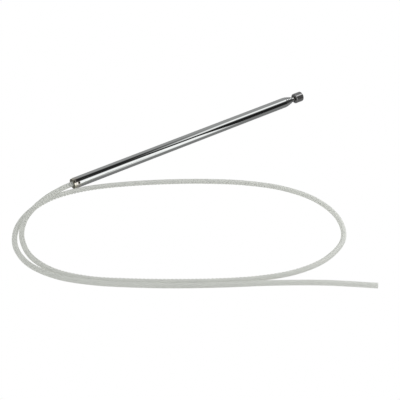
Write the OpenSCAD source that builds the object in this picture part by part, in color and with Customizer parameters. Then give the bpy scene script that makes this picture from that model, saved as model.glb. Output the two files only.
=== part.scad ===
// Telescopic mast of a power antenna, pushed in collapsed, with the nylon cord that drives it.
// The mast lies along X on the plane z = 0, lower end at -X. Its middle stands over the origin.

/* [Outer tube] */
// Outside diameter of the outer tube
outer_od = 8; // [7.6:0.1:10]
// Length of the outer tube
outer_len = 194.5; // [120:0.5:300]
// Wall of every tube
tube_wall = 0.3; // [0.25:0.01:0.35]
// Diameter of the stake hole near the lower end
stake_hole_d = 1.8; // [1:0.1:2]
// Distance of the stake hole from the end of the tube
stake_hole_in = 2.1; // [1.5:0.1:4.5]
// Height angle of the stake hole on the front of the tube
stake_hole_angle = 25; // [0:1:90]

/* [Sliding sections] */
// Running clearance on the radius of each sliding fit
slide_gap = 0.03; // [0.02:0.01:0.06]
// Thickness of the friction shells between two tubes
shell_wall = 0.17; // [0.12:0.01:0.2]
// Length of the friction shells
shell_len = 10; // [6:0.5:20]
// Slit between the two half shells of a pair
shell_slit = 0.4; // [0.2:0.1:1]
// Barrel of a shell: how much thinner its ends are than its middle
shell_barrel = 0.05; // [0.02:0.01:0.08]
// Diameter of the nub that keys a shell to its tube
nub_d = 1.6; // [1:0.1:2.4]
// Play between a nub and its hole, on the radius
nub_gap = 0.05; // [0.02:0.01:0.1]
// How far each mouth stands out of the one around it when collapsed
mouth_step = 2; // [1:0.1:6]
// Straight guiding land inside a swaged mouth
mouth_land = 1.2; // [0.6:0.1:4]
// Length over which a tube necks down to its mouth
neck_len = 0.6; // [0.3:0.1:2]
// Rounding of a mouth's outer edge
mouth_edge_r = 0.15; // [0.05:0.01:0.22]
// Gap between the feet of the sections and the bush when collapsed
foot_gap = 0.3; // [0.1:0.1:2]

/* [Top rod and knob] */
// Thickness of the friction shells between the top rod and the last tube
rod_shell_wall = 0.37; // [0.25:0.01:0.6]
// Bare rod between the last mouth and the knob
rod_reveal = 2.4; // [1:0.1:10]
// Height of the shoulders round the spigots at both ends of the rod
spigot_shoulder = 0.5; // [0.3:0.05:0.8]
// Length of the spigot in the knob
tip_spigot_len = 3.5; // [2:0.1:4]
// Depth of the dimples that key the rod's friction shells
dimple_depth = 0.35; // [0.2:0.05:0.5]
// How much smaller than the outer tube the knob is, on the radius
knob_drop = 0.05; // [0:0.05:0.5]
// Length of the knob
knob_len = 7; // [5.5:0.1:12]
// Bevel at both ends of the knob
knob_bevel = 0.4; // [0.2:0.1:1]
// Flat rim round the recess in the knob's near face
knob_rim = 0.55; // [0.3:0.05:0.7]
// Depth of that recess, in which the rod is seated
knob_recess = 0.8; // [0.3:0.1:1.2]
// Bevel at the mouth of the knob's bore
knob_bore_bevel = 0.3; // [0.1:0.1:0.4]

/* [Lower end] */
// How much smaller than the outer tube the bush's flange is, on the radius
flange_drop = 0.2; // [0:0.05:0.3]
// Length of the bush's flange
flange_len = 1.6; // [1:0.1:3]
// Length of the bush's shank in the tube
shank_len = 7.4; // [6:0.1:15]
// Play between the cord and the bush, on the radius
cord_play = 0.25; // [0.15:0.05:0.4]
// Bevel at the mouth of the bush
bush_bevel = 0.5; // [0.2:0.1:0.8]
// Depth of the stake hole in the bush's shank
stake_depth = 1.2; // [0.3:0.1:1.3]
// Length of the ferrule that joins the cord to the rod
ferrule_len = 12; // [11:0.5:20]
// Depth of the ferrule's socket for the cord
cord_socket = 7; // [6.7:0.1:8]
// Depth of the ferrule's socket for the rod's spigot
rod_socket = 4; // [2:0.1:4]
// Wall of the ferrule round the cord
ferrule_wall = 0.3; // [0.25:0.01:0.4]
// Play between the ferrule and the last tube, on the radius
ferrule_gap = 0.1; // [0.05:0.01:0.12]
// Play between the cord and its socket, on the radius
socket_gap = 0.05; // [0.04:0.01:0.08]
// Depth of the two crimp rings round the ferrule
crimp_depth = 0.12; // [0.05:0.01:0.15]
// Width of a crimp ring
crimp_w = 1; // [0.5:0.1:1.5]

/* [Hidden] */

// Radii of the nested sections: each one leaves room for a pair of shells and its slide gap
last_tube = 4;
section_drop = tube_wall + shell_wall + slide_gap;
function tube_r(k) = outer_od / 2 - (k - 1) * section_drop;
function bore_r(k) = tube_r(k) - tube_wall;
function inner_r(k) = k == last_tube ? rod_od / 2 : tube_r(k + 1);
function mouth_at(k) = outer_mouth + (k - 1) * mouth_step;

// Diameters of what goes through the last tube, and of the two ends
rod_od = 2 * (bore_r(last_tube) - slide_gap - rod_shell_wall);
spigot_d = rod_od - 2 * spigot_shoulder;
ferrule_r = bore_r(last_tube) - ferrule_gap;
socket_r = ferrule_r - ferrule_wall;
cord_d = 2 * (socket_r - socket_gap);
bush_bore_r = cord_d / 2 + cord_play;
flange_od = outer_od - 2 * flange_drop;
knob_od = outer_od - 2 * knob_drop;

// Places along the mast, measured from its lower end
shank_end = flange_len + shank_len;
foot = shank_end + foot_gap;
outer_mouth = flange_len + outer_len;
last_mouth = mouth_at(last_tube);
stake_hole_at = flange_len + stake_hole_in;
knob_start = last_mouth + rod_reveal;
knob_seat = knob_start + knob_recess;
mast_len = knob_start + knob_len;
rod_foot = foot + ferrule_len;
cord_start = shank_end + cord_socket;

// Frame of the mast
axis_z = outer_od / 2;
base_x = -mast_len / 2;

arc_steps = 4;
cut = 1;
$fn = 64;

// Loop of the cord: along the mast from its lower end, sideways, and height above z = 0.
// It leaves the bush, climbs over its own last turn, and runs round to the bare end. The points
// suit the normal diameters, and other ones spread the loop so that its strands keep clear.
normal_cord_d = 3.5;
normal_outer_od = 8;
spread = max(cord_d / normal_cord_d, (outer_od + cord_d) / (normal_outer_od + normal_cord_d));
low = cord_d / 2;
over = low + cord_d;
loop = [
    [4, 0, axis_z], [-4, -0.3, axis_z + 0.2], [-13.2, -2.8, over], [-24, -6.1, over + 0.5],
    [-36, -11, over - 0.25], [-47.1, -18.4, cord_d], [-56.2, -31.9, low + 0.25],
    [-60.3, -52, low], [-55.3, -73.2, low], [-41.5, -92.4, low], [-22.7, -108.8, low],
    [-1.4, -125, low], [20.8, -140.3, low], [44, -154, low], [68.1, -163.3, low],
    [92, -164.7, low], [114.4, -156, low], [127.4, -136.1, low], [128.6, -111.5, low],
    [118.8, -88.1, low], [102.2, -68.3, low], [82, -51.1, low], [59.8, -35.6, low],
    [36.4, -21.6, low], [14, -10.6, low], [-4, -5, low], [-22, -3.8, low], [-40, -9.5, low],
    [-54.8, -21.2, low], [-64, -38.5, low], [-64.9, -58.9, low], [-56.5, -79.4, low + 0.15],
    [-42, -97.1, low + 0.45], [-24.2, -112.4, low + 0.25], [-1.1, -129.9, low + 0.1],
    [24.3, -147, low], [50.5, -163.8, low], [76, -182.1, low], [100.2, -202.8, low]
];
route = concat(
    [[cord_start, 0, axis_z]],
    [for (p = loop) [p.x * spread, p.y * spread, p.z]]
);
cord_sides = 8;
rings_per_span = 2;

// Turns a profile drawn as [place along the mast, radius] into a solid on the mast's axis
module on_axis() {
    translate([base_x, 0, axis_z])
        rotate([0, 90, 0])
            rotate_extrude()
                mirror([1, -1, 0])
                    children();
}

// Cylinder along the mast from one place to another
module axial_cylinder(from, to, r) {
    translate([base_x + from, 0, axis_z])
        rotate([0, 90, 0])
            cylinder(h = to - from, r = r);
}

// Cylinder square to the mast, pointing at an angle above the front, between two radii
module radial_cylinder(at, angle, r_from, r_to, d) {
    translate([base_x + at, 0, axis_z])
        rotate([90 - angle, 0, 0])
            translate([0, 0, r_from])
                cylinder(h = r_to - r_from, d = d);
}

// Rounded outer edge of a swaged mouth
function mouth_edge(at, r) = [
    for (i = [0:arc_steps])
        let (a = 90 - 90 * i / arc_steps)
            [at - mouth_edge_r + mouth_edge_r * cos(a), r - mouth_edge_r + mouth_edge_r * sin(a)]
];

// Half section of a tube whose upper end is swaged down onto the next section
module tube_profile(k, from) {
    at = mouth_at(k);
    guide_r = inner_r(k) + slide_gap;
    polygon(concat(
        [
            [from, bore_r(k)],
            [from, tube_r(k)],
            [at - mouth_land - neck_len, tube_r(k)],
            [at - mouth_land, guide_r + tube_wall]
        ],
        mouth_edge(at, guide_r + tube_wall),
        [
            [at, guide_r],
            [at - mouth_land, guide_r],
            [at - mouth_land - neck_len, bore_r(k)]
        ]
    ));
}

// Sliding tube: nested tube with two key holes for its friction shells near the foot
module sliding_tube(k) {
    key_d = nub_d + 2 * nub_gap;
    difference() {
        on_axis() tube_profile(k, foot);
        for (angle = [90, 270])
            radial_cylinder(foot + shell_len / 2, angle, 0, tube_r(k) + cut, key_d);
    }
}

// Barrel-shaped half section of a pair of friction shells
module shell_profile(from, r_in, r_out) {
    polygon([
        [from, r_in],
        [from, r_out - shell_barrel],
        [from + shell_len * 0.3, r_out],
        [from + shell_len * 0.7, r_out],
        [from + shell_len, r_out - shell_barrel],
        [from + shell_len, r_in]
    ]);
}

// Half shell on the foot of a section, with the nub that keys it to the section
module half_shell(from, r_in, r_out, nub_depth, upper) {
    side = upper ? 1 : -1;
    room = 2 * r_out + cut;
    intersection() {
        union() {
            on_axis() shell_profile(from, r_in, r_out);
            radial_cylinder(
                from + shell_len / 2, side * 90, r_in - nub_depth, r_in + shell_wall / 2, nub_d
            );
        }
        translate([base_x + from - cut, -room / 2, axis_z + (upper ? shell_slit / 2 : -room)])
            cube([shell_len + 2 * cut, room, room - (upper ? 0 : shell_slit / 2)]);
    }
}

// Outer tube, fixed in use: open tube with a swaged mouth and the stake hole
module outer_tube() {
    color("silver")
        difference() {
            on_axis() tube_profile(1, flange_len);
            radial_cylinder(stake_hole_at, stake_hole_angle, 0, tube_r(1) + cut, stake_hole_d);
        }
}

// Brass bush pressed and staked in the lower end, where the cord goes in
module base_bush() {
    color("darkkhaki")
        difference() {
            on_axis()
                polygon([
                    [0, bush_bore_r + bush_bevel],
                    [0, flange_od / 2 - bush_bevel / 2],
                    [bush_bevel / 2, flange_od / 2],
                    [flange_len, flange_od / 2],
                    [flange_len, bore_r(1)],
                    [shank_end - bush_bevel, bore_r(1)],
                    [shank_end, bore_r(1) - bush_bevel],
                    [shank_end, bush_bore_r],
                    [bush_bevel, bush_bore_r]
                ]);
            radial_cylinder(
                stake_hole_at, stake_hole_angle, bore_r(1) - stake_depth, bore_r(1) + cut, stake_hole_d
            );
        }
}

// The three tubes that slide
module second_tube() color("silver") sliding_tube(2);
module third_tube() color("silver") sliding_tube(3);
module fourth_tube() color("silver") sliding_tube(last_tube);

// Friction shells of the sliding tubes, two halves on each foot
module tube_shell(k, upper) {
    color("peru")
        half_shell(foot, tube_r(k), bore_r(k - 1) - slide_gap, tube_wall, upper);
}

module second_upper_shell() tube_shell(2, true);
module second_lower_shell() tube_shell(2, false);
module third_upper_shell() tube_shell(3, true);
module third_lower_shell() tube_shell(3, false);
module fourth_upper_shell() tube_shell(last_tube, true);
module fourth_lower_shell() tube_shell(last_tube, false);

// Solid top rod with a spigot at each end and two dimples for its shells
module top_rod() {
    color("silver")
        difference() {
            union() {
                axial_cylinder(rod_foot, knob_seat, rod_od / 2);
                axial_cylinder(rod_foot - rod_socket, rod_foot + cut, spigot_d / 2);
                axial_cylinder(knob_seat - cut, knob_seat + tip_spigot_len, spigot_d / 2);
            }
            for (angle = [90, 270])
                radial_cylinder(
                    rod_foot + shell_len / 2, angle,
                    rod_od / 2 - dimple_depth, rod_od / 2 + cut, nub_d + 2 * nub_gap
                );
        }
}

// Friction shells of the rod, thicker than the others
module rod_shell(upper) {
    color("peru")
        half_shell(
            rod_foot, rod_od / 2, bore_r(last_tube) - slide_gap, dimple_depth - nub_gap, upper
        );
}

module top_upper_shell() rod_shell(true);
module top_lower_shell() rod_shell(false);

// Ferrule crimped on the cord's inner end and on the rod's lower spigot
module cord_ferrule() {
    color("darkkhaki")
        difference() {
            axial_cylinder(foot, rod_foot, ferrule_r);
            axial_cylinder(foot - cut, foot + cord_socket, socket_r);
            axial_cylinder(rod_foot - rod_socket, rod_foot + cut, spigot_d / 2);
            for (at = [cord_socket / 4, cord_socket * 0.6])
                difference() {
                    axial_cylinder(foot + at, foot + at + crimp_w, ferrule_r + cut);
                    axial_cylinder(foot + at - cut, foot + at + crimp_w + cut, ferrule_r - crimp_depth);
                }
        }
}

// Turned knob on the tip, hollowed where the rod goes in
module tip_knob() {
    recess_r = knob_od / 2 - knob_bevel - knob_rim;
    color("dimgray")
        on_axis()
            polygon([
                [knob_seat, spigot_d / 2 + knob_bore_bevel],
                [knob_seat, recess_r],
                [knob_start, recess_r],
                [knob_start, knob_od / 2 - knob_bevel],
                [knob_start + knob_bevel, knob_od / 2],
                [knob_start + knob_len - knob_bevel, knob_od / 2],
                [knob_start + knob_len, knob_od / 2 - knob_bevel],
                [knob_start + knob_len, 0],
                [knob_seat + tip_spigot_len, 0],
                [knob_seat + tip_spigot_len, spigot_d / 2],
                [knob_seat + knob_bore_bevel, spigot_d / 2]
            ]);
}

// Smooth curve through the route's points, never lower than a cord that lies on z = 0
last_point = len(route) - 1;
function route_at(i) =
    i < 0 ? 2 * route[0] - route[1] :
    i > last_point ? 2 * route[last_point] - route[last_point - 1] :
    route[i];
function curve(i, t) =
    let (a = route_at(i - 1), b = route_at(i), c = route_at(i + 1), d = route_at(i + 2))
        (2 * b + (c - a) * t + (2 * a - 5 * b + 4 * c - d) * t * t
            + (3 * b - 3 * c + d - a) * t * t * t) / 2;
function laid(p) = [p.x, p.y, max(p.z, low)];

// Centres of the cord's rings, and the corners of one ring square to the curve
ring_count = last_point * rings_per_span + 1;
centres = [
    for (n = [0:ring_count - 1])
        n == ring_count - 1
            ? laid(route[last_point])
            : laid(curve(floor(n / rings_per_span), (n % rings_per_span) / rings_per_span))
];
function unit(v) = v / norm(v);
function heading(n) = unit(centres[min(n + 1, ring_count - 1)] - centres[max(n - 1, 0)]);
function ring(n) =
    let (ahead = heading(n), side = unit(cross(ahead, [0, 0, 1])), up = cross(side, ahead))
        [
            for (i = [0:cord_sides - 1])
                let (a = 360 * i / cord_sides)
                    centres[n] + cord_d / 2 * (cos(a) * side + sin(a) * up)
        ];

// Free driving cord: a plain tube swept along the route
module cord() {
    corners = [for (n = [0:ring_count - 1]) each ring(n)];
    skin = [
        for (n = [0:ring_count - 2], i = [0:cord_sides - 1])
            let (j = (i + 1) % cord_sides, row = n * cord_sides)
                [row + i, row + j, row + cord_sides + j, row + cord_sides + i]
    ];
    first_cap = [for (i = [0:cord_sides - 1]) cord_sides - 1 - i];
    last_cap = [for (i = [0:cord_sides - 1]) (ring_count - 1) * cord_sides + i];
    color("gainsboro")
        translate([base_x, 0, 0])
            polyhedron(points = corners, faces = concat([first_cap], skin, [last_cap]));
}

outer_tube();
base_bush();
cord();
second_tube();
second_upper_shell();
second_lower_shell();
third_tube();
third_upper_shell();
third_lower_shell();
fourth_tube();
fourth_upper_shell();
fourth_lower_shell();
top_rod();
top_upper_shell();
top_lower_shell();
cord_ferrule();
tip_knob();
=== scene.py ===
import math

import bpy
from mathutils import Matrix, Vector


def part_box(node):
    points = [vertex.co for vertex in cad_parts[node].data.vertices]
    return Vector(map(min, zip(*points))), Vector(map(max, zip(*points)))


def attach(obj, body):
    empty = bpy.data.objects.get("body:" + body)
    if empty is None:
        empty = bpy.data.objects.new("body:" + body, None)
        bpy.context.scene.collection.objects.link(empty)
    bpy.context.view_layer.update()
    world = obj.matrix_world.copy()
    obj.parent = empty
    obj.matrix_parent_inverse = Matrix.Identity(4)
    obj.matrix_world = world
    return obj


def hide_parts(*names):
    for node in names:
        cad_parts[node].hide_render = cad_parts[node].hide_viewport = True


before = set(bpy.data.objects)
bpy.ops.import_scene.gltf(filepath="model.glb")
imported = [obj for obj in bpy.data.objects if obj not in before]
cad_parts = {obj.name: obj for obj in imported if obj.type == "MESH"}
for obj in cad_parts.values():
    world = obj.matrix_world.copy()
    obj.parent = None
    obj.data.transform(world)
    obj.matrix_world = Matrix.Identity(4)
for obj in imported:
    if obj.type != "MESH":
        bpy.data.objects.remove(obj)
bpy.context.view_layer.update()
mm = 0.001

# The mast lies along X. Its lower end is at baseX and its axis at axisZ.
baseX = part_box("base_bush")[0].x
axisZ = (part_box("outer_tube")[0].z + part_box("outer_tube")[1].z) / 2


# Small helpers

def deselectAll():
    if bpy.context.object and bpy.context.object.mode != "OBJECT":
        bpy.ops.object.mode_set(mode="OBJECT")
    bpy.ops.object.select_all(action="DESELECT")


def makeActive(piece):
    deselectAll()
    piece.select_set(True)
    bpy.context.view_layer.objects.active = piece


def linear(hexColour):
    parts = [int(hexColour[i:i + 2], 16) / 255 for i in (1, 3, 5)]
    return tuple(c / 12.92 if c <= 0.04045 else ((c + 0.055) / 1.055) ** 2.4 for c in parts) + (1,)


def addNode(tree, kind, settings=None, links=None):
    # settings are the node's own options by name
    # links are its sockets, each with a value or another node's output
    node = tree.nodes.new(kind)
    for name, value in (settings or {}).items():
        setattr(node, name, value)
    for socket, value in (links or {}).items():
        if isinstance(value, bpy.types.NodeSocket):
            tree.links.new(value, node.inputs[socket])
        else:
            node.inputs[socket].default_value = value
    return node


def newMaterial(name):
    material = bpy.data.materials.new(name)
    material.use_nodes = True
    tree = material.node_tree
    tree.nodes.clear()
    return material, tree


def giveMaterial(piece, material):
    piece.data.materials.clear()
    piece.data.materials.append(material)


# Camera: at the photograph's height angle of 36 degrees, long lens
print("camera")
cameraSet = {
    "place": (-0.35771, -0.50351, 0.3939),
    "turn": (54.0, 0.0, -35.7876),
    "lens": 86.67,
    "sensor": 36.0,
    "clip": (0.01, 50),
}
cameraData = bpy.data.cameras.new("photoCamera")
cameraData.lens = cameraSet["lens"]
cameraData.sensor_width = cameraSet["sensor"]
cameraData.clip_start, cameraData.clip_end = cameraSet["clip"]
camera = bpy.data.objects.new("photoCamera", cameraData)
camera.location = cameraSet["place"]
camera.rotation_euler = [math.radians(a) for a in cameraSet["turn"]]
bpy.context.scene.collection.objects.link(camera)
bpy.context.scene.camera = camera


# Cord: nylon rod with rack teeth on one side, all along, wound so that the teeth face into the loop
print("cord")
cordSet = {
    "diameter": 3.5,
    "toothPitch": 2.5,
    "toothDepth": 0.85,
    "toothTop": 0.44,      # part of the pitch that is tooth top
    "toothFlank": 0.13,    # part of the pitch that one flank takes
    # degrees that the teeth are turned up from level, each at a point of the route
    "toothRise": [(0, 23), (13, 22), (20, 5), (24, -20), (27, -36), (39, -60)],
    "sides": 20,
    "pointsPerSpan": 8,
    "smoothAngle": 32,
    "mergeWithin": 0.02,
    "stiffness": "stiff",
}
# Route as in the solid model: along the mast from its lower end, sideways, and height, in mm
cordRoute = [
    (16, 0, 4), (4, 0, 4), (-4, -0.3, 4.2), (-13.2, -2.8, 5.25), (-24, -6.1, 5.75), (-36, -11, 5),
    (-47.1, -18.4, 3.5), (-56.2, -31.9, 2), (-60.3, -52, 1.75), (-55.3, -73.2, 1.75),
    (-41.5, -92.4, 1.75), (-22.7, -108.8, 1.75), (-1.4, -125, 1.75), (20.8, -140.3, 1.75),
    (44, -154, 1.75), (68.1, -163.3, 1.75), (92, -164.7, 1.75), (114.4, -156, 1.75),
    (127.4, -136.1, 1.75), (128.6, -111.5, 1.75), (118.8, -88.1, 1.75), (102.2, -68.3, 1.75),
    (82, -51.1, 1.75), (59.8, -35.6, 1.75), (36.4, -21.6, 1.75), (14, -10.6, 1.75), (-4, -5, 1.75),
    (-22, -3.8, 1.75), (-40, -9.5, 1.75), (-54.8, -21.2, 1.75), (-64, -38.5, 1.75),
    (-64.9, -58.9, 1.75), (-56.5, -79.4, 1.9), (-42, -97.1, 2.2), (-24.2, -112.4, 2),
    (-1.1, -129.9, 1.85), (24.3, -147, 1.75), (50.5, -163.8, 1.75), (76, -182.1, 1.75),
    (100.2, -202.8, 1.75),
]


def smoothRoute(points, steps, lowest):
    # Smooth curve through the points, never lower than a cord that lies on the floor
    points = [Vector(p) for p in points]
    ends = [2 * points[0] - points[1]] + points + [2 * points[-1] - points[-2]]
    line = []
    for a, b, c, d in zip(ends, ends[1:], ends[2:], ends[3:]):
        for step in range(steps):
            t = step / steps
            second = (2 * a - 5 * b + 4 * c - d) * t ** 2
            third = (3 * b - 3 * c + d - a) * t ** 3
            line.append((2 * b + (c - a) * t + second + third) / 2)
    line.append(points[-1])
    return [Vector((p.x * mm + baseX, p.y * mm, max(p.z, lowest) * mm)) for p in line]


def riseAt(place):
    # How far the teeth are turned up from level at a place of the route
    for (a, riseA), (b, riseB) in zip(cordSet["toothRise"], cordSet["toothRise"][1:]):
        if place <= b:
            return riseA + (riseB - riseA) * (place - a) / (b - a)
    return cordSet["toothRise"][-1][1]


def makeTooth(pitch):
    # One tooth: a short round bar, its rings at the tooth's corners and pressed in at the gap
    deselectAll()
    radius = cordSet["diameter"] / 2 * mm
    top, flank = cordSet["toothTop"], cordSet["toothFlank"]
    gapStart, gapEnd = top + flank, 1.0 - flank
    places = [0.0, top, gapStart, gapEnd, 1.0]
    bpy.ops.mesh.primitive_circle_add(
        vertices=cordSet["sides"], radius=radius, fill_type="NOTHING", rotation=(0, math.pi / 2, 0),
    )
    tooth = bpy.context.object
    tooth.name = "cordStrand"
    bpy.ops.object.transform_apply(location=True, rotation=True, scale=True)
    bpy.ops.object.mode_set(mode="EDIT")
    bpy.ops.mesh.select_all(action="SELECT")
    for a, b in zip(places, places[1:]):
        bpy.ops.mesh.extrude_region_move(TRANSFORM_OT_translate={"value": ((b - a) * pitch, 0, 0)})
    bpy.ops.object.mode_set(mode="OBJECT")
    gapFloor = radius - cordSet["toothDepth"] * mm
    near = 0.01
    for v in tooth.data.vertices:
        if gapStart - near < v.co.x / pitch < gapEnd + near:
            v.co.y = min(v.co.y, gapFloor)
    tooth.data.update()
    return tooth


def makeCordLine(line):
    # The line that the cord follows, with its upright kept upright all along
    curveData = bpy.data.curves.new("cordLine", "CURVE")
    curveData.dimensions = "3D"
    curveData.twist_mode = "Z_UP"
    spline = curveData.splines.new("POLY")
    spline.points.add(len(line) - 1)
    for i, (point, p) in enumerate(zip(spline.points, line)):
        point.co = (*p, 1)
        point.tilt = math.radians(riseAt(i / cordSet["pointsPerSpan"]))
    cordLine = bpy.data.objects.new("cordLine", curveData)
    bpy.context.scene.collection.objects.link(cordLine)
    return cordLine


def makeCord():
    line = smoothRoute(cordRoute, cordSet["pointsPerSpan"], cordSet["diameter"] / 2)
    total = sum((b - a).length for a, b in zip(line, line[1:]))
    count = round(total / (cordSet["toothPitch"] * mm))
    pitch = total / count
    strand = makeTooth(pitch)
    cordLine = makeCordLine(line)

    makeActive(strand)
    row = strand.modifiers.new("teeth", "ARRAY")
    row.count = count
    row.use_relative_offset = False
    row.use_constant_offset = True
    row.constant_offset_displace = (pitch, 0, 0)
    row.use_merge_vertices = True
    row.merge_threshold = cordSet["mergeWithin"] * mm
    bend = strand.modifiers.new("lay", "CURVE")
    bend.object = cordLine
    bend.deform_axis = "POS_X"
    for name in ("teeth", "lay"):
        bpy.ops.object.modifier_apply(modifier=name)
    bpy.data.objects.remove(cordLine)

    # Both ends are cut square
    bpy.ops.object.mode_set(mode="EDIT")
    bpy.ops.mesh.select_all(action="DESELECT")
    bpy.ops.mesh.select_non_manifold()
    bpy.ops.mesh.edge_face_add()
    bpy.ops.mesh.select_all(action="SELECT")
    bpy.ops.mesh.normals_make_consistent(inside=False)
    bpy.ops.object.mode_set(mode="OBJECT")
    bpy.ops.object.shade_smooth_by_angle(angle=math.radians(cordSet["smoothAngle"]))
    return strand, line, total


cordStrand, cordLinePoints, cordLength = makeCord()
print("cord length", round(cordLength, 4), "faces", len(cordStrand.data.polygons))
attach(cordStrand, "outer")
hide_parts("cord")


# Turned and drawn pieces of the mast. Places are in mm from the mast's lower end, radii in mm.
# These values are shared, and each piece has its own beside its profile.
mastSet = {
    "sides": 96,
    "smoothAngle": 28,
    "mergeWithin": 0.001,
    "outerR": 4.0,
    "flange": 1.6,       # the outer tube starts behind the bush's flange
    "rodR": 1.8,
    "spigotR": 1.3,
    "rodSeat": 205.3,    # where the rod's shoulder sits in the knob
    "rodEnd": 208.8,
}


def turned(name, profile, hollow):
    # A ring is pushed along the mast and sized again at each point of the profile,
    # which is (place, radius)
    deselectAll()
    place, r = profile[0]
    bpy.ops.mesh.primitive_circle_add(
        vertices=mastSet["sides"], radius=r * mm, fill_type="NOTHING",
        location=(baseX + place * mm, 0, axisZ), rotation=(0, math.pi / 2, 0),
    )
    piece = bpy.context.object
    piece.name = name
    bpy.ops.object.transform_apply(location=True, rotation=True, scale=True)
    bpy.ops.object.mode_set(mode="EDIT")
    bpy.ops.mesh.select_all(action="SELECT")
    if hollow:
        push = bpy.ops.mesh.extrude_edges_move
        points = profile[1:] + profile[:1]
    else:
        push = bpy.ops.mesh.extrude_region_move
        points = profile[1:]
        bpy.ops.mesh.edge_face_add()
    for nextPlace, nextR in points:
        push(TRANSFORM_OT_translate={"value": ((nextPlace - place) * mm, 0, 0)})
        k = nextR / r
        bpy.ops.transform.resize(value=(1, k, k), center_override=(baseX + nextPlace * mm, 0, axisZ))
        place, r = nextPlace, nextR
    bpy.ops.mesh.select_all(action="SELECT")
    bpy.ops.mesh.remove_doubles(threshold=mastSet["mergeWithin"] * mm)
    bpy.ops.mesh.normals_make_consistent(inside=False)
    bpy.ops.object.mode_set(mode="OBJECT")
    bpy.ops.object.shade_smooth_by_angle(angle=math.radians(mastSet["smoothAngle"]))
    return piece


# The stake hole goes through the tube's wall into the bush. Its angle is above the front.
stakeHole = {"place": 3.7, "angle": 25, "radius": 0.9, "depth": 1.5, "sides": 48}


def drilled(piece, hole):
    deselectAll()
    angle = math.radians(hole["angle"])
    outward = Vector((0, -math.cos(angle), math.sin(angle)))
    middle = Vector((baseX + hole["place"] * mm, 0, axisZ)) + outward * (mastSet["outerR"] * mm)
    bpy.ops.mesh.primitive_cylinder_add(
        vertices=hole["sides"], radius=hole["radius"] * mm, depth=2 * hole["depth"] * mm,
        location=middle, rotation=(math.pi / 2 - angle, 0, 0),
    )
    cutter = bpy.context.object
    makeActive(piece)
    cut = piece.modifiers.new("hole", "BOOLEAN")
    cut.operation = "DIFFERENCE"
    cut.solver = "EXACT"
    cut.object = cutter
    bpy.ops.object.modifier_apply(modifier="hole")
    bpy.data.objects.remove(cutter)
    bpy.ops.object.shade_smooth_by_angle(angle=math.radians(mastSet["smoothAngle"]))


tubeSet = {
    "count": 4,
    "wall": 0.3,
    "gap": 0.03,          # clearance in a mouth
    "shellWall": 0.17,    # the friction shells fill the rest between two tubes
    "outerMouth": 196.1,
    "mouthStep": 2.0,
    "land": 1.2,          # straight part of a mouth
    "neck": 0.6,          # length of the cone before it
    "foot": 9.3,          # where the sliding tubes start
    "edge": 0.15,         # rounding of a mouth's edge
    "edgeSteps": 5,
}


def tubeProfile(k, start):
    # The k-th tube from outside: straight, then swaged down to guide the next one
    wall, gap, edge = tubeSet["wall"], tubeSet["gap"], tubeSet["edge"]
    drop = wall + tubeSet["shellWall"] + gap
    r = mastSet["outerR"] - (k - 1) * drop
    inner = r - wall
    guide = (mastSet["rodR"] if k == tubeSet["count"] else r - drop) + gap
    lip = guide + wall
    mouth = tubeSet["outerMouth"] + (k - 1) * tubeSet["mouthStep"]
    landStart = mouth - tubeSet["land"]
    shoulder = landStart - tubeSet["neck"]
    profile = [(start, inner), (start, r - 0.05), (start + 0.05, r)]
    # rings close to both ends keep the long wall's shading straight
    profile += [(start + 0.4, r), (start + 10, r), (shoulder - 10, r), (shoulder - 0.5, r)]
    # rounded shoulder, straight cone, rounded root
    profile += [(shoulder - 0.15, r), (shoulder - 0.03, r - 0.015), (shoulder + 0.08, r - 0.07)]
    profile += [(landStart - 0.08, lip + 0.05), (landStart + 0.04, lip + 0.01), (landStart + 0.15, lip)]
    for step in range(tubeSet["edgeSteps"] + 1):
        a = math.radians(90 - 90 * step / tubeSet["edgeSteps"])
        profile.append((mouth - edge + edge * math.cos(a), lip - edge + edge * math.sin(a)))
    profile += [(mouth, guide), (landStart, guide), (shoulder, inner)]
    return profile


print("tubes")
outerTube = turned("outerTube", tubeProfile(1, mastSet["flange"]), hollow=True)
drilled(outerTube, stakeHole)
secondTube = turned("secondTube", tubeProfile(2, tubeSet["foot"]), hollow=True)
thirdTube = turned("thirdTube", tubeProfile(3, tubeSet["foot"]), hollow=True)
fourthTube = turned("fourthTube", tubeProfile(4, tubeSet["foot"]), hollow=True)
for piece, node, body, slotName in (
    (outerTube, "outer_tube", "outer", "chrome"),
    (secondTube, "second_tube", "second", "inner_chrome"),
    (thirdTube, "third_tube", "third", "inner_chrome"),
    (fourthTube, "fourth_tube", "fourth", "inner_chrome"),
):
    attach(piece, body)
    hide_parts(node)


print("bush")
bushSet = {
    "boreR": 2.0,
    "rimR": 3.8,
    "shankR": 3.7,
    "length": 9.0,
    "chamfer": 0.5,
    "dullWithin": 2.6,    # the bush is unpolished within this radius
    "dullTurn": 0.5,      # and so is a face whose normal runs more than this along the mast
}


def bushProfile():
    bore, rim, shank = bushSet["boreR"], bushSet["rimR"], bushSet["shankR"]
    flange, length, chamfer = mastSet["flange"], bushSet["length"], bushSet["chamfer"]
    return [
        # from the flared bore over the end face to the rounded rim
        (0.5, bore), (0.12, bore + 0.3), (0.0, bore + 0.5), (0.0, rim - 0.3), (0.07, rim - 0.12),
        (0.25, rim), (0.4, rim), (flange - 0.1, rim), (flange, rim),
        # shank inside the outer tube
        (flange, shank), (length - chamfer, shank), (length, shank - chamfer), (length, bore),
    ]


baseBush = turned("baseBush", bushProfile(), hollow=True)
drilled(baseBush, stakeHole)
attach(baseBush, "outer")
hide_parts("base_bush")


print("rod and knob")
rodSet = {
    "start": 17.3,    # of the spigot that the cord's ferrule grips
    "foot": 21.3,     # of the full thickness
    "bevel": 0.05,
}


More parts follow.
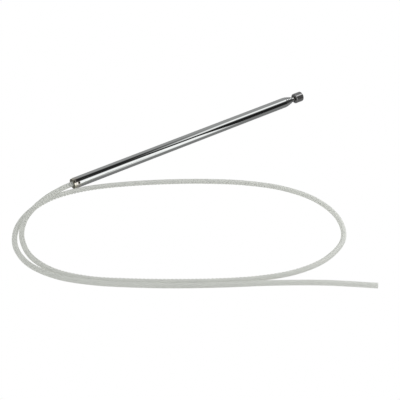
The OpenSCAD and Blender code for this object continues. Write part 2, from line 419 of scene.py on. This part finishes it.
def rodProfile():
    # rings close to both ends keep the long wall's shading straight, as on the tubes
    r, thin, bevel = mastSet["rodR"], mastSet["spigotR"], rodSet["bevel"]
    foot, seat = rodSet["foot"], mastSet["rodSeat"]
    return [
        (rodSet["start"], thin), (foot, thin), (foot, r - bevel), (foot + bevel, r), (foot + 0.3, r),
        (seat - 5.3, r), (seat - 0.3, r), (seat - bevel, r), (seat, r - bevel), (seat, thin),
        (mastSet["rodEnd"], thin),
    ]


topRod = turned("topRod", rodProfile(), hollow=False)
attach(topRod, "top")
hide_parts("top_rod")

knobSet = {
    "start": 204.5,
    "end": 211.5,
    "radius": 3.95,
    "recessR": 3.0,    # the knob is hollowed round the rod
    # rounding of both rims: how far in from the end, and how far below the full radius
    "rim": [(0, 0.5), (0.05, 0.37), (0.32, 0.07), (0.45, 0.01), (0.6, 0)],
}


def knobProfile():
    start, end, r, recess = knobSet["start"], knobSet["end"], knobSet["radius"], knobSet["recessR"]
    seat, thin = mastSet["rodSeat"], mastSet["spigotR"]
    hollow = [
        (mastSet["rodEnd"], thin), (seat + 0.3, thin), (seat, thin + 0.3), (seat, recess - 0.08),
        (seat - 0.08, recess), (start + 0.06, recess), (start, recess + 0.06),
    ]
    lowerRim = [(start + a, r - drop) for a, drop in knobSet["rim"]]
    upperRim = [(end - a, r - drop) for a, drop in reversed(knobSet["rim"])]
    return hollow + lowerRim + [(start + 1, r), (end - 0.9, r)] + upperRim + [(end, 0.4)]


tipKnob = turned("tipKnob", knobProfile(), hollow=False)
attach(tipKnob, "top")
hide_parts("tip_knob")


# Materials
print("materials")
noiseLow, noiseHigh = 0.3, 0.7    # most of a noise pattern lies between these


def perMetre(size):
    # Scale of a pattern from its real size in mm
    return 1 / (size * mm)


def metal(name, look):
    # marks are fine lines, long along the mast or round it, and clouds are soft patches.
    # Both are sizes in mm. Real polishing marks are far finer, and these are coarse enough to show.
    material, tree = newMaterial(name)
    place = addNode(tree, "ShaderNodeTexCoord").outputs["Object"]
    stretched = addNode(tree, "ShaderNodeMapping", None, {
        "Vector": place, "Scale": [perMetre(size) for size in look["marks"]]})
    marks = addNode(tree, "ShaderNodeTexNoise", None, {
        "Vector": stretched.outputs["Vector"], "Scale": 1.0, "Detail": 3.0, "Roughness": 0.6})
    clouds = addNode(tree, "ShaderNodeTexNoise", None, {
        "Vector": place, "Scale": perMetre(look["clouds"]), "Detail": 4.0, "Roughness": 0.55})
    mixed = addNode(tree, "ShaderNodeMix", {"data_type": "FLOAT"}, {
        "Factor": 0.5, "A": marks.outputs["Fac"], "B": clouds.outputs["Fac"]})
    rough = addNode(tree, "ShaderNodeMapRange", None, {
        "Value": mixed.outputs["Result"], "From Min": noiseLow, "From Max": noiseHigh,
        "To Min": look["rough"][0], "To Max": look["rough"][1]})
    tint = addNode(tree, "ShaderNodeMix", {"data_type": "RGBA"}, {
        "Factor": clouds.outputs["Fac"],
        "A": linear(look["colours"][0]), "B": linear(look["colours"][1])})
    if "thinPlate" in look:
        # thin plate at the mast's lower end takes a tint from the metal under it
        first, last = look["thinPlate"]
        along = addNode(tree, "ShaderNodeSeparateXYZ", None, {0: place})
        thin = addNode(tree, "ShaderNodeMapRange", {"interpolation_type": "SMOOTHSTEP"}, {
            "Value": along.outputs["X"], "From Min": baseX + first * mm,
            "From Max": baseX + last * mm, "To Min": 1.0, "To Max": 0.0})
        tint = addNode(tree, "ShaderNodeMix", {"data_type": "RGBA"}, {
            "Factor": thin.outputs["Result"],
            "A": tint.outputs["Result"], "B": linear(look["thinColour"])})
    bump = addNode(tree, "ShaderNodeBump", None, {
        "Height": marks.outputs["Fac"], "Strength": look["bump"], "Distance": look["bumpDepth"] * mm})
    shader = addNode(tree, "ShaderNodeBsdfPrincipled", None, {
        "Base Color": tint.outputs["Result"], "Metallic": look["metal"],
        "Roughness": rough.outputs["Result"], "Normal": bump.outputs["Normal"]})
    addNode(tree, "ShaderNodeOutputMaterial", None, {"Surface": shader.outputs["BSDF"]})
    return material


# Decorative chrome on the outer tube: near-mirror bands, their edges soft only from a fine
# lengthwise wipe, and a faint warm tint near the lower end
chromePlate = metal("chromePlateOnBrassTube", {
    "colours": ("#C4C6C4", "#D0D1CE"), "rough": (0.02, 0.06), "metal": 1.0,
    "marks": (25, 0.455, 0.455), "clouds": 5.56, "bump": 0.05, "bumpDepth": 0.01,
    "thinPlate": (2.5, 6.5), "thinColour": "#CDC8C1"})
# Chrome that slides in a mouth: a little hazier, rubbed lengthwise
rubbedChrome = metal("rubbedChromePlate", {
    "colours": ("#BDBFBE", "#CBCBC8"), "rough": (0.06, 0.14), "metal": 1.0,
    "marks": (16.7, 0.385, 0.385), "clouds": 4.55, "bump": 0.08, "bumpDepth": 0.01})
# Drawn stainless rod: greyer, with die lines along it
drawnSteel = metal("drawnStainlessSteel", {
    "colours": ("#B4B3AF", "#C2C1BD"), "rough": (0.1, 0.2), "metal": 1.0,
    "marks": (20, 0.333, 0.333), "clouds": 3.85, "bump": 0.12, "bumpDepth": 0.01})
# Turned knob in smoky dark chrome: sharp bright line over a dark body, with faint tool rings
darkChrome = metal("turnedDarkChrome", {
    "colours": ("#8E8D8C", "#9C9B9A"), "rough": (0.03, 0.07), "metal": 0.9,
    "marks": (0.2, 16.7, 16.7), "clouds": 2.5, "bump": 0.1, "bumpDepth": 0.01})
# The flange's rim, plated and worn: bright like the tube but with a straw tint
wornPlate = metal("wornPlateOnBrass", {
    "colours": ("#CBC7B8", "#D6D2C4"), "rough": (0.04, 0.09), "metal": 1.0,
    "marks": (0.167, 12.5, 12.5), "clouds": 1.43, "bump": 0.1, "bumpDepth": 0.01})
# Bare brass on the bush's end and in its bore, gone dull and olive
tarnishedBrass = metal("tarnishedBrassFace", {
    "colours": ("#6E6B5C", "#8E8B79"), "rough": (0.16, 0.34), "metal": 0.95,
    "marks": (1.11, 1.11, 1.11), "clouds": 1.67, "bump": 0.2, "bumpDepth": 0.02})
# Pressed spring bronze, reddish, with rolling marks along it
springBronze = metal("pressedSpringBronze", {
    "colours": ("#A9805A", "#BC9268"), "rough": (0.2, 0.34), "metal": 1.0,
    "marks": (3.33, 1.11, 1.11), "clouds": 2, "bump": 0.1, "bumpDepth": 0.01})

nylonLook = {
    "colours": ("#E9EAE6", "#F0F1ED"), "rough": (0.34, 0.48), "ior": 1.53,
    "clouds": 18.2, "grain": 0.714, "bump": 0.05, "bumpDepth": 0.02,
    "through": 0.6,    # part of the light that comes through
}


def nylonMaterial(name, look):
    # Moulded natural nylon: milky, a little translucent, with faint clouds and a soft shine
    material, tree = newMaterial(name)
    place = addNode(tree, "ShaderNodeTexCoord").outputs["Object"]
    clouds = addNode(tree, "ShaderNodeTexNoise", None, {
        "Vector": place, "Scale": perMetre(look["clouds"]), "Detail": 4.0, "Roughness": 0.6})
    grain = addNode(tree, "ShaderNodeTexNoise", None, {
        "Vector": place, "Scale": perMetre(look["grain"]), "Detail": 2.0, "Roughness": 0.5})
    tint = addNode(tree, "ShaderNodeMix", {"data_type": "RGBA"}, {
        "Factor": clouds.outputs["Fac"],
        "A": linear(look["colours"][0]), "B": linear(look["colours"][1])})
    rough = addNode(tree, "ShaderNodeMapRange", None, {
        "Value": grain.outputs["Fac"], "From Min": noiseLow, "From Max": noiseHigh,
        "To Min": look["rough"][0], "To Max": look["rough"][1]})
    bump = addNode(tree, "ShaderNodeBump", None, {
        "Height": grain.outputs["Fac"], "Strength": look["bump"], "Distance": look["bumpDepth"] * mm})
    shader = addNode(tree, "ShaderNodeBsdfPrincipled", None, {
        "Base Color": tint.outputs["Result"], "Roughness": rough.outputs["Result"],
        "Normal": bump.outputs["Normal"], "IOR": look["ior"]})
    through = addNode(tree, "ShaderNodeBsdfTranslucent", None, {
        "Color": tint.outputs["Result"], "Normal": bump.outputs["Normal"]})
    milky = addNode(tree, "ShaderNodeMixShader", None, {
        0: look["through"], 1: shader.outputs[0], 2: through.outputs[0]})
    addNode(tree, "ShaderNodeOutputMaterial", None, {"Surface": milky.outputs[0]})
    return material


nylon = nylonMaterial("mouldedNaturalNylon", nylonLook)
for piece, material in (
    (outerTube, chromePlate), (secondTube, rubbedChrome), (thirdTube, rubbedChrome),
    (fourthTube, rubbedChrome), (topRod, drawnSteel), (tipKnob, darkChrome),
    (baseBush, wornPlate), (cordStrand, nylon),
):
    giveMaterial(piece, material)
# the bush's end faces and its bore are unpolished
baseBush.data.materials.append(tarnishedBrass)
for face in baseBush.data.polygons:
    reach = math.hypot(face.center.y, face.center.z - axisZ)
    if abs(face.normal.x) > bushSet["dullTurn"] or reach < bushSet["dullWithin"] * mm:
        face.material_index = 1
for name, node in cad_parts.items():
    if name.endswith("_shell"):
        giveMaterial(node, springBronze)
giveMaterial(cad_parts["cord_ferrule"], tarnishedBrass)


# Studio: the camera sees white all round. The pieces are lit by a pale floor, a room of soft
# panels and one soft lamp. Of these, the metal mirrors the room alone.
print("studio")
floorSet = {"size": 6, "seen": "#FFFFFF", "colour": "#FEFEFE", "level": 0.8}


def makeFloor():
    deselectAll()
    bpy.ops.mesh.primitive_plane_add(size=floorSet["size"], location=(0, 0, 0))
    floor = bpy.context.object
    floor.name = "floor"
    material, tree = newMaterial("paleFloor")
    white = addNode(tree, "ShaderNodeEmission", None, {
        "Color": linear(floorSet["seen"]), "Strength": 1.0})
    pale = addNode(tree, "ShaderNodeEmission", None, {
        "Color": linear(floorSet["colour"]), "Strength": floorSet["level"]})
    ray = addNode(tree, "ShaderNodeLightPath")
    both = addNode(tree, "ShaderNodeMixShader", None, {
        0: ray.outputs["Is Camera Ray"], 1: pale.outputs[0], 2: white.outputs[0]})
    addNode(tree, "ShaderNodeOutputMaterial", None, {"Surface": both.outputs[0]})
    giveMaterial(floor, material)
    floor.visible_glossy = False


# A panel covers angles round the mast, in degrees with 0 level in front and 90 overhead, and
# slopes along it. soft and ramp are the widths of its edges. slant moves its ends, in slope for
# each degree. twist moves its sides, in degrees for each unit of slope from twistFrom.
# A later panel covers an earlier one.
roomSet = {
    "level": 0.70,
    "colour": "#FCFDFF",
    "seen": "#FFFFFF",
    "twistFrom": 0.5,
    "panels": [
        # for other views, at slopes that the mast doesn't mirror in the photograph's:
        # one long light overhead between two dark walls
        {"round": (-160, -30), "soft": (14, 14), "along": (-9, 0.37), "ramp": (0.1, 0.03),
         "level": 0.34},
        {"round": (28, 52), "soft": (6, 6), "along": (-3, 0.37), "ramp": (0.1, 0.03), "level": 0.12},
        {"round": (66, 104), "soft": (8, 8), "along": (-3, 0.37), "ramp": (0.1, 0.03), "level": 1.25},
        {"round": (126, 150), "soft": (6, 6), "along": (-3, 0.37), "ramp": (0.1, 0.03),
         "level": 0.12},
        # what the mast mirrors in the photograph: grey all round, darker beyond the tip
        {"round": (-200, 200), "soft": (1, 1), "along": (0.37, 3), "ramp": (0.03, 0.1),
         "level": 0.48},
        {"round": (-200, 200), "soft": (1, 1), "along": (1.05, 9), "ramp": (0.2, 0.1),
         "level": 0.25},
        # the mast's top edge, in two parts because the angles start again behind
        {"round": (163, 200), "soft": (10, 1), "along": (0.37, 0.695), "ramp": (0.03, 0.01),
         "level": 0.41},
        {"round": (-200, -150), "soft": (1, 10), "along": (0.37, 0.695), "ramp": (0.03, 0.01),
         "level": 0.41},
        # the mast's underside
        {"round": (-150, -30), "soft": (14, 14), "along": (0.37, 3), "ramp": (0.03, 0.1),
         "level": 0.30},
        # dark band on the mast's lower half
        {"round": (43, 60), "soft": (5, 5), "along": (0.37, 0.62), "ramp": (0.03, 0.03),
         "level": 0.025},
        {"round": (41, 50), "soft": (5, 5), "along": (0.37, 0.468), "ramp": (0.03, 0.02),
         "level": 0.025},
        {"round": (58, 108), "soft": (5, 14), "along": (0.37, 0.545), "ramp": (0.03, 0.07),
         "level": 0.025},
        # bright band on its upper half
        {"round": (53, 79), "soft": (6, 8), "along": (0.54, 0.6), "ramp": (0.08, 0.03),
         "level": 1.65},
        {"round": (61, 86), "soft": (6, 8), "along": (0.59, 1.05), "ramp": (0.03, 0.2),
         "level": 1.65},
        # bright band on the lower half, under the dark one
        {"round": (-19, 34), "soft": (14, 6), "along": (0.37, 0.6), "ramp": (0.03, 0.01),
         "slant": 0.0012, "level": 1.6},
        # dark line that crosses over from one dark band to the other
        {"round": (36, 62), "soft": (4, 4), "along": (0.475, 0.606), "ramp": (0.02, 0.02),
         "twist": 186, "level": 0.015},
        # dark band on the upper half, under the bright one
        {"round": (-21, 48), "soft": (14, 6), "along": (0.6, 3), "ramp": (0.01, 0.1),
         "slant": 0.0012, "level": 0.02},
        # what only the knob mirrors there
        {"round": (-21, 71), "soft": (14, 4), "along": (0.7145, 1.05), "ramp": (0.002, 0.2),
         "level": 0.09},
        {"round": (71, 86), "soft": (4, 6), "along": (0.7145, 1.05), "ramp": (0.002, 0.2),
         "level": 2.6},
    ],
}


def makeRoom():
    world = bpy.data.worlds.new("softStudio")
    bpy.context.scene.world = world
    world.use_nodes = True
    tree = world.node_tree
    tree.nodes.clear()

    # the direction of a ray as its angle round the mast and its slope along it
    direction = addNode(tree, "ShaderNodeTexCoord").outputs["Generated"]
    split = addNode(tree, "ShaderNodeSeparateXYZ", None, {0: direction}).outputs
    front = addNode(tree, "ShaderNodeMath", {"operation": "MULTIPLY"}, {0: split["Y"], 1: -1.0})
    angle = addNode(tree, "ShaderNodeMath", {"operation": "ARCTAN2"}, {
        0: split["Z"], 1: front.outputs[0]})
    degrees = addNode(tree, "ShaderNodeMath", {"operation": "DEGREES"}, {0: angle.outputs[0]})
    ySquare = addNode(tree, "ShaderNodeMath", {"operation": "MULTIPLY"}, {
        0: split["Y"], 1: split["Y"]})
    squares = addNode(tree, "ShaderNodeMath", {"operation": "MULTIPLY_ADD"}, {
        0: split["Z"], 1: split["Z"], 2: ySquare.outputs[0]})
    across = addNode(tree, "ShaderNodeMath", {"operation": "SQRT"}, {0: squares.outputs[0]})
    slope = addNode(tree, "ShaderNodeMath", {"operation": "DIVIDE"}, {
        0: split["X"], 1: across.outputs[0]})
    twistSlope = addNode(tree, "ShaderNodeMath", {"operation": "SUBTRACT"}, {
        0: slope.outputs[0], 1: roomSet["twistFrom"]})

    plain = addNode(tree, "ShaderNodeValue")
    plain.outputs[0].default_value = roomSet["level"]
    level = plain.outputs[0]
    for panel in roomSet["panels"]:
        twisted = addNode(tree, "ShaderNodeMath", {"operation": "MULTIPLY_ADD"}, {
            0: twistSlope.outputs[0], 1: panel.get("twist", 0.0), 2: degrees.outputs[0]})
        slanted = addNode(tree, "ShaderNodeMath", {"operation": "MULTIPLY_ADD"}, {
            0: degrees.outputs[0], 1: panel.get("slant", 0.0), 2: slope.outputs[0]})
        mask = 1.0
        for value, (low, high), (lowSoft, highSoft) in (
            (twisted.outputs[0], panel["round"], panel["soft"]),
            (slanted.outputs[0], panel["along"], panel["ramp"]),
        ):
            for edge, soft, first, last in ((low, lowSoft, 0.0, 1.0), (high, highSoft, 1.0, 0.0)):
                part = addNode(tree, "ShaderNodeMapRange", {"interpolation_type": "SMOOTHSTEP"}, {
                    "Value": value, "From Min": edge - soft, "From Max": edge + soft,
                    "To Min": first, "To Max": last})
                mask = addNode(tree, "ShaderNodeMath", {"operation": "MULTIPLY"}, {
                    0: mask, 1: part.outputs[0]}).outputs[0]
        level = addNode(tree, "ShaderNodeMix", {"data_type": "FLOAT"}, {
            "Factor": mask, "A": level, "B": panel["level"]}).outputs["Result"]

    room = addNode(tree, "ShaderNodeBackground", None, {
        "Color": linear(roomSet["colour"]), "Strength": level})
    white = addNode(tree, "ShaderNodeBackground", None, {
        "Color": linear(roomSet["seen"]), "Strength": 1.0})
    ray = addNode(tree, "ShaderNodeLightPath")
    seen = addNode(tree, "ShaderNodeMixShader", None, {
        0: ray.outputs["Is Camera Ray"], 1: room.outputs[0], 2: white.outputs[0]})
    addNode(tree, "ShaderNodeOutputWorld", None, {"Surface": seen.outputs[0]})


# Soft lamp at the right, which makes the end of the loop near it a little brighter
sideLamp = {"place": (0.33, -0.24, 0.2), "aim": (0.1, -0.14, 0), "size": 0.3, "watts": 1.15}


def makeSideLamp():
    place = Vector(sideLamp["place"])
    turn = (Vector(sideLamp["aim"]) - place).to_track_quat("-Z", "Y").to_euler()
    bpy.ops.object.light_add(type="AREA", location=place, rotation=turn)
    lamp = bpy.context.object
    lamp.name = "sideLamp"
    lamp.data.size = sideLamp["size"]
    lamp.data.energy = sideLamp["watts"]
    lamp.visible_glossy = False
    lamp.visible_camera = False


makeFloor()
makeRoom()
makeSideLamp()
bpy.context.scene.view_settings.view_transform = "Standard"
